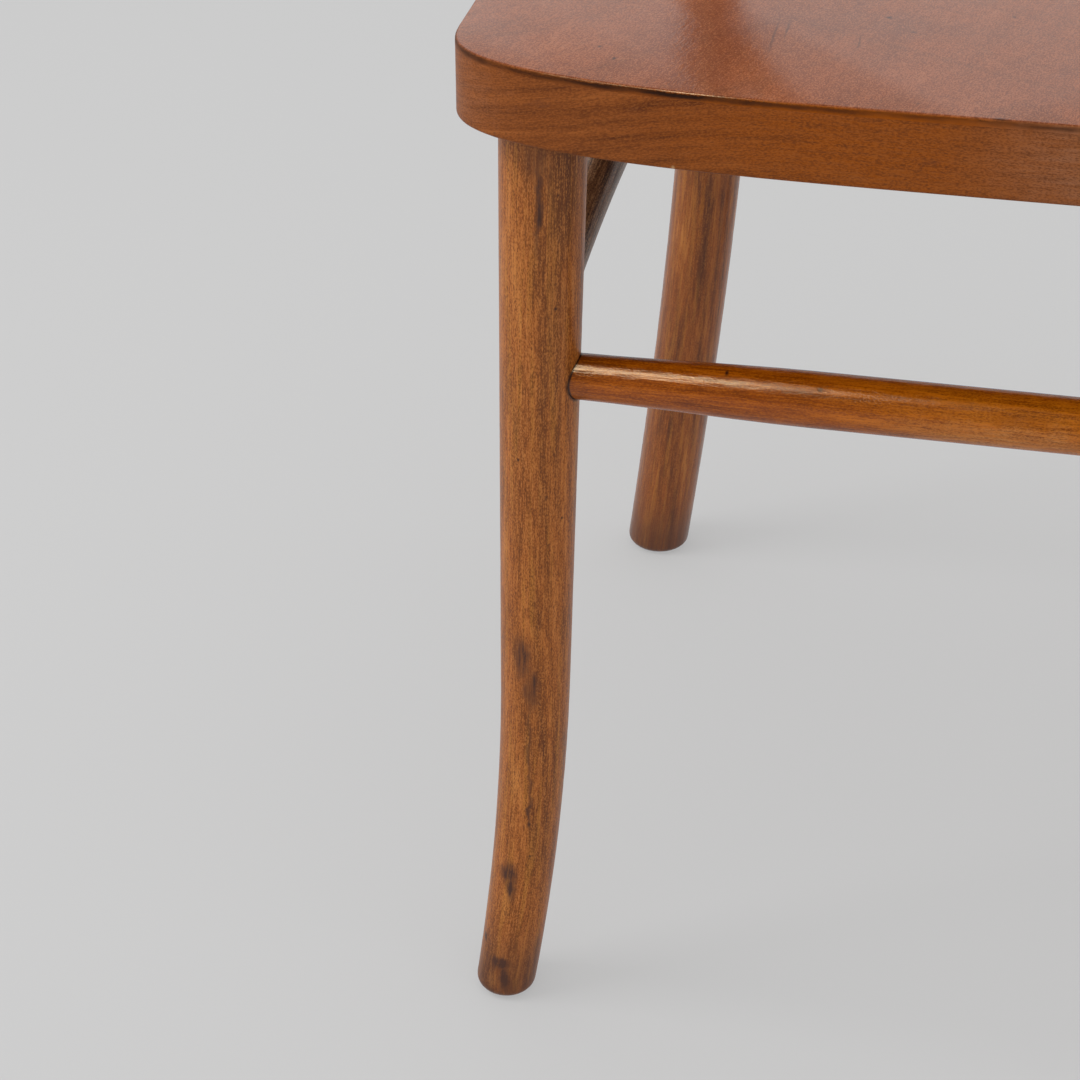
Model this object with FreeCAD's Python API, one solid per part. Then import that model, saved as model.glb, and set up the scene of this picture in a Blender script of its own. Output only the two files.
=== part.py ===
import FreeCAD, Part
import math
import os

# Bentwood bistro chair. Millimetres, +Z up, the front of the chair faces -Y.
# The origin lies on the floor, on the chair's centre plane, under the middle of its depth.
# Depths in the values below are measured from the seat's own datum, which seat_datum_y places.

# Seat
seat_height = 455.0
panel_thickness = 3.0
ring_height = 27.2
seat_half_width = 194.5
seat_front = 188.3
seat_back = 208.0
seat_widest = -132.9
front_squareness = 3.24
back_squareness = 3.3
panel_arris = 1.2
ring_arris = 1.5
outline_steps = 14

# Opening inside the seat ring
ring_side_width = 45.0
ring_front_width = 46.0
ring_back_width = 38.0
opening_widest = -55.0
opening_squareness = 3.0
opening_arris = 1.0

# Front legs
leg_side_inset = 35.1
leg_front_inset = 38.0
front_splay_x = 0.010
front_splay_y = 0.013
front_leg_top_radius = 17.15
front_leg_foot_radius = 13.6
sabre_height = 168.0
sabre_sweep_x = 10.4
sabre_sweep_y = 10.4
front_foot_rounding = 5.0
leg_sections = 15

# Leg tenon, wedged from above in the seat ring
tenon_radius = 11.0
tenon_end_gap = 0.5
tenon_clearance = 0.1
wedge_depth = 20.0
wedge_width = 18.0
wedge_thin = 1.6
wedge_thick = 3.4

# Back bow: its waist beside the seat, and from there its rear legs, uprights and crown
bow_radius = 17.5
bow_top_radius = 15.0
bow_taper_length = 145.0
waist_drop = 17.0
waist_inset = 59.7
waist_front_of_seat_back = 21.4
rear_splay_out = 31.7
rear_splay_out_power = 1.7
rear_splay_back = 36.9
rear_splay_back_power = 1.15
rear_foot_rounding = 5.0
upright_low_rise = 122.0
upright_low_out = 8.8
upright_low_back = 12.4
upright_mid_rise = 242.0
upright_mid_out = 8.2
upright_mid_back = 34.4
shoulder_rise = 342.0
shoulder_in = 11.3
shoulder_back = 55.4
crown_side_rise = 406.0
crown_side_in = 58.8
crown_side_back = 69.4
crown_rise = 427.0
crown_back = 73.9
bow_floor_overrun = 12.0
bow_sections = 49
bow_fit_clearance = 0.15

# Inner bow: its place below the crown and inside the uprights
inner_radius = 9.5
inner_tip_radius = 6.5
inner_crown_drop = 57.0
inner_shoulder_drop = 79.0
inner_shoulder_in = 68.8
inner_side_drop = 129.0
inner_side_in = 34.8
inner_low_drop = 185.0
inner_low_in = 8.0
inner_tip_drop = 229.0
inner_set_in = 4.5
inner_tip_taper = 50.0
inner_sections = 41

# Turned stretchers, front and rear
stretcher_height = 317.0
stretcher_end_radius = 9.4
stretcher_mid_radius = 11.25
stretcher_swell = 92.0
socket_depth = 14.0
socket_clearance = 0.12
swell_steps = 9

# Bent side stretchers
side_lift = 21.2
side_rise = 32.5
side_radius = 9.4

# Seat bolts, with their washers and nuts
bolt_radius = 4.0
bolt_clearance = 0.3
bolt_angle = 45.0
bolt_head_radius = 9.5
bolt_head_height = 4.2
bolt_spot_radius = 10.2
bolt_spot_depth = 2.2
bolt_reach_past_nut = 3.0
nut_across_flats = 13.0
nut_height = 6.5
nut_corner_chamfer = 0.3
thread_clearance = 0.05
washer_radius = 11.0
washer_thickness = 1.6
washer_spot_radius = 12.5
washer_spot_depth = 1.2

# Screws that hold the ends of the inner bow
screw_radius = 2.0
screw_head_radius = 4.0
screw_head_height = 2.6
screw_head_sink = 0.6
screw_slot_width = 0.9
screw_slot_depth = 1.1
screw_length = 28.0
screw_clearance = 0.1
screw_first = 12.0
screw_pitch = 22.0

# Places that follow from the sizes above
ring_top = seat_height - panel_thickness
ring_bottom = ring_top - ring_height
ring_middle = (ring_top + ring_bottom) / 2
leg_x = seat_half_width - leg_side_inset
leg_y = leg_front_inset - seat_front
waist_x = seat_half_width - waist_inset
waist_y = seat_back - waist_front_of_seat_back
waist_z = seat_height - waist_drop
crown_z = waist_z + crown_rise
side_height = stretcher_height + side_lift
seat_datum_y = (seat_front - waist_y - crown_back - bow_top_radius) / 2
far = 2 * crown_z
up = FreeCAD.Vector(0, 0, 1)
outward = FreeCAD.Vector(1, 0, 0)


def point(x, y, z):
    return FreeCAD.Vector(x, y + seat_datum_y, z)


def mirrored(shape):
    return shape.mirror(FreeCAD.Vector(0, 0, 0), FreeCAD.Vector(1, 0, 0))


def both(shapes):
    return shapes + [mirrored(shape) for shape in shapes]


def keep(name, shape):
    shape.Solids[0].exportStep("parts/" + name + ".step")


def keep_pair(name, shape, ending=""):
    keep(name + "_right" + ending, shape)
    keep(name + "_left" + ending, mirrored(shape))


def level_edges(shape, z, reach):
    # The edges that lie at height z and stay within reach of the centre plane.
    found = []
    for edge in shape.Edges:
        box = edge.BoundBox
        level = abs(box.ZMin - z) < 0.01 and abs(box.ZMax - z) < 0.01
        if level and max(abs(box.XMin), abs(box.XMax)) < reach:
            found.append(edge)
    return found


def rounded_outline(half_width, front, back, widest, front_power, back_power, z):
    # One closed curve through points on two power ovals that meet where the shape is widest.
    right = []
    for depth, power, side in ((widest + front, front_power, -1), (back - widest, back_power, 1)):
        for step in range(outline_steps + 1):
            share = 1 - step / outline_steps if side < 0 else step / outline_steps
            turn = math.pi / 2 * share
            across = half_width * abs(math.cos(turn)) ** (2 / power)
            along = depth * abs(math.sin(turn)) ** (2 / power)
            right.append(point(across, widest + side * along, z))
    del right[outline_steps]
    left = [FreeCAD.Vector(-p.x, p.y, p.z) for p in reversed(right[1:-1])]
    curve = Part.BSplineCurve()
    curve.interpolate(Points=right + left, PeriodicFlag=True)
    return Part.Wire([curve.toShape()])


def seat_outline(z):
    return rounded_outline(
        seat_half_width, seat_front, seat_back, seat_widest, front_squareness, back_squareness, z
    )


def slab(wire, height):
    return Part.Face(wire).extrude(up * height)


def blend(value, start, end):
    share = min(1.0, max(0.0, (value - start) / (end - start)))
    return share * share * (3 - 2 * share)


def front_leg_center(z):
    drop = ring_bottom - z
    low = max(0.0, sabre_height - z) / sabre_height
    x = leg_x + front_splay_x * drop + sabre_sweep_x * low ** 2
    y = leg_y - front_splay_y * drop - sabre_sweep_y * low ** 2
    return point(x, y, z)


def front_leg_radius(z):
    return front_leg_foot_radius + (front_leg_top_radius - front_leg_foot_radius) * z / ring_bottom


def rear_leg_point(share):
    # Share is 0 at the waist and 1 on the floor; the power keeps the leg straight near the waist.
    out = rear_splay_out * share ** rear_splay_out_power
    back = rear_splay_back * share ** rear_splay_back_power
    return point(waist_x + out, waist_y + back, waist_z * (1 - share))


def bow_half_points():
    floor_point = rear_leg_point(1.0)
    slope = floor_point - rear_leg_point(0.9)
    overrun = floor_point + slope * (bow_floor_overrun / abs(slope.z))
    return [
        overrun,
        rear_leg_point(0.75),
        rear_leg_point(0.5),
        rear_leg_point(0.25),
        point(waist_x, waist_y, waist_z),
        point(waist_x + upright_low_out, waist_y + upright_low_back, waist_z + upright_low_rise),
        point(waist_x + upright_mid_out, waist_y + upright_mid_back, waist_z + upright_mid_rise),
        point(waist_x - shoulder_in, waist_y + shoulder_back, waist_z + shoulder_rise),
        point(waist_x - crown_side_in, waist_y + crown_side_back, waist_z + crown_side_rise),
    ]


def arch_curve(half, crown):
    curve = Part.BSplineCurve()
    curve.interpolate(Points=half + [crown] + [FreeCAD.Vector(-p.x, p.y, p.z) for p in reversed(half)])
    return curve


def level_on_arch(curve, z):
    # The place at height z on the half of an arch where it starts and rises.
    low = curve.FirstParameter
    high = (curve.FirstParameter + curve.LastParameter) / 2
    for _ in range(40):
        middle = (low + high) / 2
        if curve.value(middle).z < z:
            low = middle
        else:
            high = middle
    return curve.value(low)


def bent_rod(curve, radius_at, sections):
    # Skins circles that stand square to the curve, each turned as little as possible from the last.
    first = curve.FirstParameter
    reach = curve.LastParameter - first
    across = FreeCAD.Vector(0, 1, 0)
    circles = []
    for index in range(sections):
        parameter = first + reach * index / (sections - 1)
        place = curve.value(parameter)
        tangent = curve.tangent(parameter)[0]
        across = across - tangent * across.dot(tangent)
        across.normalize()
        circle = Part.makeCircle(radius_at(place))
        turn = FreeCAD.Rotation(across, tangent.cross(across), tangent, "ZXY")
        circle.Placement = FreeCAD.Placement(place, turn)
        circles.append(Part.Wire([circle]))
    return Part.makeLoft(circles, True, False)


def bow_radius_at(place):
    taper = blend(place.z, seat_height, seat_height + bow_taper_length)
    return bow_radius + (bow_top_radius - bow_radius) * taper


def back_bow_rod(curve, extra):
    rod = bent_rod(curve, lambda place: bow_radius_at(place) + extra, bow_sections)
    floor = Part.makeBox(far, far, far, FreeCAD.Vector(-far / 2, -far / 2, -far))
    return rod.cut(floor)


def inner_radius_at(place):
    tip_z = crown_z - inner_tip_drop
    return inner_tip_radius + (inner_radius - inner_tip_radius) * blend(place.z, tip_z, tip_z + inner_tip_taper)


def swell_edge(points):
    curve = Part.BSplineCurve()
    curve.interpolate(Points=points, InitialTangent=up, FinalTangent=up)
    return curve.toShape()


def turned_stretcher(half_length, y):
    # Lies along X: plain where it enters the legs, swelled to its full size between them.
    length = 2 * half_length
    rise = stretcher_mid_radius - stretcher_end_radius
    swell = []
    for index in range(swell_steps + 1):
        share = index / swell_steps
        radius = stretcher_end_radius + rise * blend(share, 0, 1)
        swell.append(FreeCAD.Vector(radius, 0, socket_depth + stretcher_swell * share))
    fall = [FreeCAD.Vector(p.x, 0, length - p.z) for p in reversed(swell)]
    foot = FreeCAD.Vector(0, 0, 0)
    foot_rim = FreeCAD.Vector(stretcher_end_radius, 0, 0)
    tip = FreeCAD.Vector(0, 0, length)
    tip_rim = FreeCAD.Vector(stretcher_end_radius, 0, length)
    outline = Part.Wire([
        Part.makeLine(foot, foot_rim),
        Part.makeLine(foot_rim, swell[0]),
        swell_edge(swell),
        Part.makeLine(swell[-1], fall[0]),
        swell_edge(fall),
        Part.makeLine(fall[-1], tip_rim),
        Part.makeLine(tip_rim, tip),
        Part.makeLine(tip, foot),
    ])
    rod = Part.Face(outline).revolve(foot, up, 360)
    rod.Placement = FreeCAD.Placement(
        FreeCAD.Vector(-half_length, y, stretcher_height), FreeCAD.Rotation(up, outward)
    )
    return rod


def stretcher_socket(half_length, y):
    # The hole in a right leg for the flat end of a stretcher of that half length.
    end = FreeCAD.Vector(half_length, y, stretcher_height)
    return Part.makeCylinder(stretcher_end_radius + socket_clearance, 2 * socket_depth, end, outward * -1)


def side_stretcher(front_axis, rear_axis, clearance):
    # One arc that rises between the two legs and stops short of their axes.
    chord = rear_axis - front_axis
    half = chord.Length / 2
    arc_radius = (half ** 2 + side_rise ** 2) / (2 * side_rise)
    along = FreeCAD.Vector(chord)
    along.normalize()
    center = (front_axis + rear_axis) / 2 - up * (arc_radius - side_rise)
    half_angle = math.asin(half / arc_radius)
    start = (front_leg_radius(side_height) - socket_depth) / arc_radius - half_angle
    end = half_angle - (bow_radius - socket_depth) / arc_radius
    place = center + along * (arc_radius * math.sin(start)) + up * (arc_radius * math.cos(start))
    tangent = along * math.cos(start) - up * math.sin(start)
    disc = Part.Face(Part.Wire([Part.makeCircle(side_radius + clearance, place, tangent)]))
    return disc.revolve(center, up.cross(along), math.degrees(end - start))


def wedge_shape(foot, clearance):
    # Stands on its thin edge at foot, wide along X, and thickens upwards.
    half = wedge_width / 2 + clearance
    thin = wedge_thin / 2 + clearance
    thick = wedge_thick / 2 + clearance
    profile = Part.makePolygon([
        FreeCAD.Vector(-half, -thin, 0),
        FreeCAD.Vector(-half, thin, 0),
        FreeCAD.Vector(-half, thick, wedge_depth),
        FreeCAD.Vector(-half, -thick, wedge_depth),
        FreeCAD.Vector(-half, -thin, 0),
    ])
    wedge = Part.Face(profile).extrude(outward * (2 * half))
    wedge.translate(foot)
    return wedge


def hex_nut(center, axis):
    reach = nut_across_flats / 2 / math.cos(math.pi / 6)
    corners = []
    for index in range(7):
        angle = math.pi / 3 * index
        corners.append(FreeCAD.Vector(reach * math.cos(angle), reach * math.sin(angle), 0))
    blank = Part.Face(Part.makePolygon(corners)).extrude(up * nut_height)
    top_radius = nut_across_flats / 2 + nut_corner_chamfer
    corner_cone = Part.makeCone(top_radius + 2 * nut_height, top_radius, nut_height)
    bore = Part.makeCylinder(bolt_radius + thread_clearance, nut_height)
    nut = blank.common(corner_cone).cut(bore)
    nut.Placement = FreeCAD.Placement(center, FreeCAD.Rotation(up, axis))
    return nut


def countersunk(center, clearance):
    # A screw along +X whose head starts at center.
    radius = screw_radius + clearance
    shank = Part.makeCylinder(radius, screw_length, center, outward)
    head = Part.makeCone(screw_head_radius + clearance, radius, screw_head_height, center, outward)
    return head.fuse(shank).removeSplitter()


os.makedirs("parts", exist_ok=True)

# Centre lines and outer shapes
bow_curve = arch_curve(bow_half_points(), point(0, waist_y + crown_back, crown_z))
back_bow = back_bow_rod(bow_curve, 0.0)
back_bow = back_bow.makeFillet(rear_foot_rounding, level_edges(back_bow, 0.0, far))
bow_envelope = back_bow_rod(bow_curve, bow_fit_clearance)

heights = [ring_bottom * index / (leg_sections - 1) for index in range(leg_sections)]
leg_circles = [Part.Wire([Part.makeCircle(front_leg_radius(z), front_leg_center(z))]) for z in heights]
front_leg = Part.makeLoft(leg_circles, True, False)
front_leg = front_leg.makeFillet(front_foot_rounding, level_edges(front_leg, 0.0, far))

# Front leg tenon and its wedge
leg_top = front_leg_center(ring_bottom)
tenon_length = ring_height - tenon_end_gap
tenon = Part.makeCylinder(tenon_radius, tenon_length, leg_top)
mortise = Part.makeCylinder(tenon_radius + tenon_clearance, ring_height, leg_top)
wedge_foot = leg_top + up * (tenon_length - wedge_depth)
leg_wedge = wedge_shape(wedge_foot, 0.0)
kerf = wedge_shape(wedge_foot, tenon_clearance)
front_leg = front_leg.fuse(tenon).removeSplitter()

# Stretchers
rear_axis = level_on_arch(bow_curve, stretcher_height)
front_axis = front_leg_center(stretcher_height)
front_half = front_axis.x - front_leg_radius(stretcher_height) + socket_depth
rear_half = rear_axis.x - bow_radius + socket_depth
front_stretcher = turned_stretcher(front_half, front_axis.y)
rear_stretcher = turned_stretcher(rear_half, rear_axis.y)
side_front = front_leg_center(side_height)
side_rear = level_on_arch(bow_curve, side_height)
right_side_stretcher = side_stretcher(side_front, side_rear, 0.0)
side_socket = side_stretcher(side_front, side_rear, socket_clearance)
front_leg = front_leg.cut([kerf, stretcher_socket(front_half, front_axis.y), side_socket])

# Seat bolt, washer and nut
opening = rounded_outline(
    seat_half_width - ring_side_width, seat_front - ring_front_width, seat_back - ring_back_width,
    opening_widest, opening_squareness, opening_squareness, ring_bottom
)
opening_core = slab(opening, ring_height)
turn = math.radians(bolt_angle)
inward = FreeCAD.Vector(-math.cos(turn), -math.sin(turn), 0)
bow_at_ring = level_on_arch(bow_curve, ring_middle)
bolt_line = Part.makeLine(bow_at_ring, bow_at_ring + inward * seat_half_width)
inside = bolt_line.common(opening_core)
wall_distance = min((vertex.Point - bow_at_ring).Length for vertex in inside.Vertexes)
washer_seat = bow_at_ring + inward * (wall_distance - washer_spot_depth)
head_seat = bow_at_ring - inward * (bow_radius - bolt_spot_depth)
nut_seat = washer_seat + inward * washer_thickness
shank_length = (nut_seat - head_seat).Length + nut_height + bolt_reach_past_nut
shank = Part.makeCylinder(bolt_radius, shank_length, head_seat, inward)
dome_radius = (bolt_head_radius ** 2 + bolt_head_height ** 2) / (2 * bolt_head_height)
dome = Part.makeSphere(dome_radius, head_seat + inward * (dome_radius - bolt_head_height))
head_block = Part.makeCylinder(bolt_head_radius + 1, 2 * bolt_head_height, head_seat, inward * -1)
seat_bolt = dome.common(head_block).fuse(shank).removeSplitter()
bolt_hole = Part.makeCylinder(bolt_radius + bolt_clearance, shank_length, head_seat, inward)
head_spot = Part.makeCylinder(bolt_spot_radius, 2 * bolt_spot_depth, head_seat, inward * -1)
washer_spot = Part.makeCylinder(washer_spot_radius, 2 * washer_spot_radius, washer_seat, inward)
washer = Part.makeCylinder(washer_radius, washer_thickness, washer_seat, inward).cut(bolt_hole)

# Seat ring and panel
seat_ring = slab(seat_outline(ring_bottom), ring_height)
seat_ring = seat_ring.makeFillet(ring_arris, level_edges(seat_ring, ring_bottom, far)).cut(opening_core)
opening_edges = level_edges(seat_ring, ring_bottom, seat_half_width - ring_side_width / 2)
seat_ring = seat_ring.makeFillet(opening_arris, opening_edges)
seat_ring = seat_ring.cut([bow_envelope] + both([mortise, bolt_hole, washer_spot]))
seat_panel = slab(seat_outline(ring_top), panel_thickness)
seat_panel = seat_panel.makeFillet(panel_arris, level_edges(seat_panel, seat_height, far))
seat_panel = seat_panel.cut(bow_envelope)

# Inner bow, coped to the uprights, and its screws
inner_tip_z = crown_z - inner_tip_drop
upright = level_on_arch(bow_curve, inner_tip_z)
tip_x = upright.x - bow_radius_at(upright) - inner_tip_radius + inner_set_in
inner_places = (
    (tip_x, inner_tip_z),
    (tip_x - inner_low_in, crown_z - inner_low_drop),
    (waist_x - inner_side_in, crown_z - inner_side_drop),
    (waist_x - inner_shoulder_in, crown_z - inner_shoulder_drop),
    (0.0, crown_z - inner_crown_drop),
)
inner_points = [FreeCAD.Vector(x, level_on_arch(bow_curve, z).y, z) for x, z in inner_places]
inner_curve = arch_curve(inner_points[:-1], inner_points[-1])
inner_bow = bent_rod(inner_curve, inner_radius_at, inner_sections)

inner_screws = []
screw_bores = []
for index in range(2):
    place = level_on_arch(inner_curve, inner_tip_z + screw_first + screw_pitch * index)
    head = place - outward * (inner_radius_at(place) - screw_head_sink)
    slot_corner = head - FreeCAD.Vector(0, 2 * screw_head_radius, screw_slot_width / 2)
    slot = Part.makeBox(screw_slot_depth, 4 * screw_head_radius, screw_slot_width, slot_corner)
    mouth = Part.makeCylinder(screw_head_radius + screw_clearance, inner_radius, head, outward * -1)
    inner_screws.append(countersunk(head, 0.0).cut(slot))
    screw_bores.append(countersunk(head, screw_clearance).fuse(mouth).removeSplitter())
inner_bow = inner_bow.cut([bow_envelope] + both(screw_bores))
rear_socket = stretcher_socket(rear_half, rear_axis.y)
back_bow = back_bow.cut(both([rear_socket, side_socket, bolt_hole, head_spot] + screw_bores))

keep("back_bow", back_bow)
keep("inner_bow", inner_bow)
keep("seat_ring", seat_ring)
keep("seat_panel", seat_panel)
keep("front_stretcher", front_stretcher)
keep("rear_stretcher", rear_stretcher)
keep("right_side_stretcher", right_side_stretcher)
keep("left_side_stretcher", mirrored(right_side_stretcher))
keep_pair("front_leg", front_leg)
keep_pair("leg_wedge", leg_wedge)
keep_pair("seat_bolt", seat_bolt)
keep_pair("seat_bolt_washer", washer)
keep_pair("seat_bolt_nut", hex_nut(nut_seat, inward))
keep_pair("inner_bow_screw", inner_screws[0], "_lower")
keep_pair("inner_bow_screw", inner_screws[1], "_upper")
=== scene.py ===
import math

import bmesh
import bpy
import numpy as np
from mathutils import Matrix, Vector


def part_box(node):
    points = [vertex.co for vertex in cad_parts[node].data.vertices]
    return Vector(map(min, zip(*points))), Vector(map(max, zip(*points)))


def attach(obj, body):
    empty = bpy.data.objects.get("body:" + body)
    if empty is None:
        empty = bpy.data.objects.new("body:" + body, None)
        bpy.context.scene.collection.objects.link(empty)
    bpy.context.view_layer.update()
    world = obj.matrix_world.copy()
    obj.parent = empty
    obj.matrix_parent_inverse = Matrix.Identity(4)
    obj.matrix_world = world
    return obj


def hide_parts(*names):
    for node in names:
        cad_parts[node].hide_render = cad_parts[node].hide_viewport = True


# Bentwood bistro chair. Metres, +Z up, the front of the chair faces -Y.
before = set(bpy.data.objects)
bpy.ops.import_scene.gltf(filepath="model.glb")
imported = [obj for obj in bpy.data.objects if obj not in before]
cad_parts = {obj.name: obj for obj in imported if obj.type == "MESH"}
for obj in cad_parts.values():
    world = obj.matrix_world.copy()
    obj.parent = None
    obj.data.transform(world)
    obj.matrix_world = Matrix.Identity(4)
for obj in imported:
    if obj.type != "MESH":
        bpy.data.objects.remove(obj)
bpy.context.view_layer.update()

# Camera: its lens, its place and the way it looks
sensor_width = 36.0
lens_length = 81.58
camera_place = (0.01358, -1.03516, 0.79183)
camera_pitch_down = 32.893
camera_turn_left = 11.705

# Studio
backdrop_grey = "C9C9C9"
floor_grey = "C1C1C1"
floor_seen_grey = "CDCDCD"
floor_evenness = 0.6
fill_strength = 0.95
floor_half = 9.0
floor_drop = 0.0004

# Seat outline, as in the source: two power ovals that meet where the seat is widest
panel_low, panel_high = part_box("seat_panel")
seat_top = panel_high.z
panel_bottom = panel_low.z
seat_half_width = panel_high.x
seat_front = panel_low.y
seat_back = panel_high.y
seat_widest = -0.1765
front_power = 3.24
back_power = 3.3

# Where the rods meet, for the dirt round their joints, and how thick they are there
rail_low, rail_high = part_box("front_stretcher")
rear_rail_low, rear_rail_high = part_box("rear_stretcher")
rail_height = (rail_low.z + rail_high.z) / 2
rail_radius = 0.0094
rail_joint_x = 0.1605
rail_joint_y = (rail_low.y + rail_high.y) / 2
leg_radius_at_rail = 0.0163
rear_joint_x = 0.1384
rear_joint_y = (rear_rail_low.y + rear_rail_high.y) / 2
rear_leg_radius = 0.0175
ring_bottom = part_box("seat_ring")[0].z

# Where the middles of the bent rods start, and the step in which they are followed from there
front_foot_x = 0.172
front_foot_y = -0.2099
rear_foot_y = 0.18
inner_tip_radius = 0.008
walking_step = 0.004

# The stretch of the panel's front arris that is still shiny: its middle and half its length
shiny_arris_x = -0.096
shiny_arris_reach = 0.019
shiny_arris_fade = 0.013

# How high the darkening reaches up a foot, where it is full, and how softly the painted shade under the
# seat and the grime round the rail end
foot_darkening_top = 0.052
foot_darkening_full = 0.002
grime_and_shade_fade = 0.006

# The year rings climb across the ring between these places along it: start, end, rise
ring_climbs = [(0.455, 0.625, 0.030), (0.72, 0.90, -0.024)]

# Colours of stains, dirt and marks, and of painted shade and painted reflections
# Dark joint lines, and the painted shade where a front leg meets the ring
joint_dirt_and_seat_shade = "24120A"
dent_dark = "2C140C"
pore_brown = "3A1B0E"
leg_stain = "4A2A1C"
# Painted shade on the front legs' inner side under the seat
painted_leg_shade = "5C3212"
leg_flame = "C07A38"
rail_curl = "6A3208"
rail_pale = "C08040"
rail_bright = "B8680C"
ring_tones = [(0.1, "562A0C"), (0.42, "7C4116"), (0.68, "88491B"), (0.95, "9E5A26")]
ring_amber = "924800"
# Pale stain, and the painted grey reflection on the ring's left front corner
ring_pale_and_reflection = "9E6848"
ring_chip = "B88A5C"
seam_dark = "2C1406"
panel_warm = "8A4A2A"
panel_painted_reflection = "622810"
# Painted dark reflection of the back's upright on the seat panel
panel_blotch = "6A2E14"
panel_light = "9C6444"
panel_dull = "6A3A26"


def to_linear(hex_text):
    # One sRGB hex colour as linear red, green, blue and a full alpha.
    shares = [int(hex_text[i : i + 2], 16) / 255 for i in (0, 2, 4)]
    return [s / 12.92 if s <= 0.04045 else ((s + 0.055) / 1.055) ** 2.4 for s in shares] + [1.0]


def add(tree, kind, links=None, **settings):
    # Adds one node, sets its settings, then links or sets its sockets.
    node = tree.nodes.new("ShaderNode" + kind)
    for setting, value in settings.items():
        setattr(node, setting, value)
    for socket, value in (links or {}).items():
        if isinstance(value, bpy.types.NodeSocket):
            tree.links.new(value, node.inputs[socket])
        else:
            node.inputs[socket].default_value = value
    return node


def new_material(name):
    material = bpy.data.materials.new(name)
    material.use_nodes = True
    material.node_tree.nodes.clear()
    return material


# Pieces: clean copies of the solids that carry the lie of their grain


def clean_copy(node_name, smooth_below):
    # A merged copy of a solid, shaded smooth, with sharp edges only past the given angle.
    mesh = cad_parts[node_name].data.copy()
    shape = bmesh.new()
    shape.from_mesh(mesh)
    bmesh.ops.remove_doubles(shape, verts=shape.verts, dist=1e-6)
    shape.verts.ensure_lookup_table()
    corners = [tuple(v.co) for v in shape.verts]
    faces = [[v.index for v in f.verts] for f in shape.faces]
    shape.free()
    clean = bpy.data.meshes.new(node_name + "_finished")
    clean.from_pydata(corners, [], faces)
    clean.validate()
    clean.shade_smooth()
    clean.set_sharp_from_angle(angle=math.radians(smooth_below))
    piece = bpy.data.objects.new(node_name + "_finished", clean)
    bpy.context.scene.collection.objects.link(piece)
    return piece


def points_of(mesh):
    flat = np.zeros(len(mesh.vertices) * 3)
    mesh.vertices.foreach_get("co", flat)
    return flat.reshape(-1, 3)


def middle_of(points, place, heading, half_step, reach):
    # The middle of a rod's surface round one place, square to the heading, or None past its end.
    fewest_points = 6
    # A slanting direction that no rod runs along.
    slanting = (0.31, 0.87, 0.39)
    off = points - place
    near = (np.abs(off @ heading) < half_step) & (np.linalg.norm(off, axis=1) < reach)
    if near.sum() < fewest_points:
        return None
    side = np.cross(heading, slanting)
    side /= np.linalg.norm(side)
    other = np.cross(heading, side)
    shift = np.zeros(3)
    for axis in (side, other):
        span = off[near] @ axis
        shift = shift + axis * (span.max() + span.min()) / 2
    return place + shift


def center_line(points, start, heading, step, reach):
    # Walks along the inside of a bent rod from one end to the other, and smooths its path.
    most_steps = 900
    misses_past_end = 3
    smoothings = 6
    line = [np.array(start, float)]
    heading = np.array(heading, float)
    heading /= np.linalg.norm(heading)
    missed = 0
    while missed < misses_past_end and len(line) < most_steps:
        ahead = line[-1] + heading * step
        found = middle_of(points, ahead, heading, step, reach)
        missed = missed + 1 if found is None else 0
        line.append(ahead if found is None else found)
        if len(line) > 4:
            heading = line[-1] - line[-4]
            heading /= np.linalg.norm(heading)
    line = np.array(line)
    for _ in range(smoothings):
        line[1:-1] = (line[:-2] + 2 * line[1:-1] + line[2:]) / 4
    return line


def lay_grain(piece, line, across):
    # Stores each point's place in the straight stock that the rod was bent from: across, through, along.
    points = points_of(piece.data)
    batch = 4000
    steps = np.diff(line, axis=0)
    lengths = np.linalg.norm(steps, axis=1)
    tangents = steps / lengths[:, None]
    run = np.concatenate([[0.0], np.cumsum(lengths)])[:-1]
    across = np.array(across, float)
    sides = []
    for tangent in tangents:
        across = across - tangent * (across @ tangent)
        across /= np.linalg.norm(across)
        sides.append(across)
    sides = np.array(sides)
    through = np.cross(tangents, sides)
    middles = line[:-1] + steps / 2
    stock = np.zeros((len(points), 3), np.float32)
    for first in range(0, len(points), batch):
        part = points[first : first + batch]
        nearest = np.linalg.norm(part[:, None, :] - middles[None, :, :], axis=2).argmin(axis=1)
        off = part - line[:-1][nearest]
        rows = slice(first, first + batch)
        stock[rows, 0] = (off * sides[nearest]).sum(axis=1)
        stock[rows, 1] = (off * through[nearest]).sum(axis=1)
        stock[rows, 2] = (off * tangents[nearest]).sum(axis=1) + run[nearest]
    held = piece.data.attributes.new("stock", "FLOAT_VECTOR", "POINT")
    held.data.foreach_set("vector", stock.ravel())


def seat_edge_points(count):
    # Points round the seat's outline, from the middle of the back and round to it again.
    points = []
    for index in range(count):
        turn = math.pi / 2 + 2 * math.pi * index / count
        behind = math.sin(turn) > 0
        power = back_power if behind else front_power
        depth = seat_back - seat_widest if behind else seat_widest - seat_front
        x = math.copysign(abs(math.cos(turn)) ** (2 / power), math.cos(turn)) * seat_half_width
        y = math.copysign(abs(math.sin(turn)) ** (2 / power), math.sin(turn)) * depth
        points.append((x, y + seat_widest))
    return np.array(points)


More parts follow.
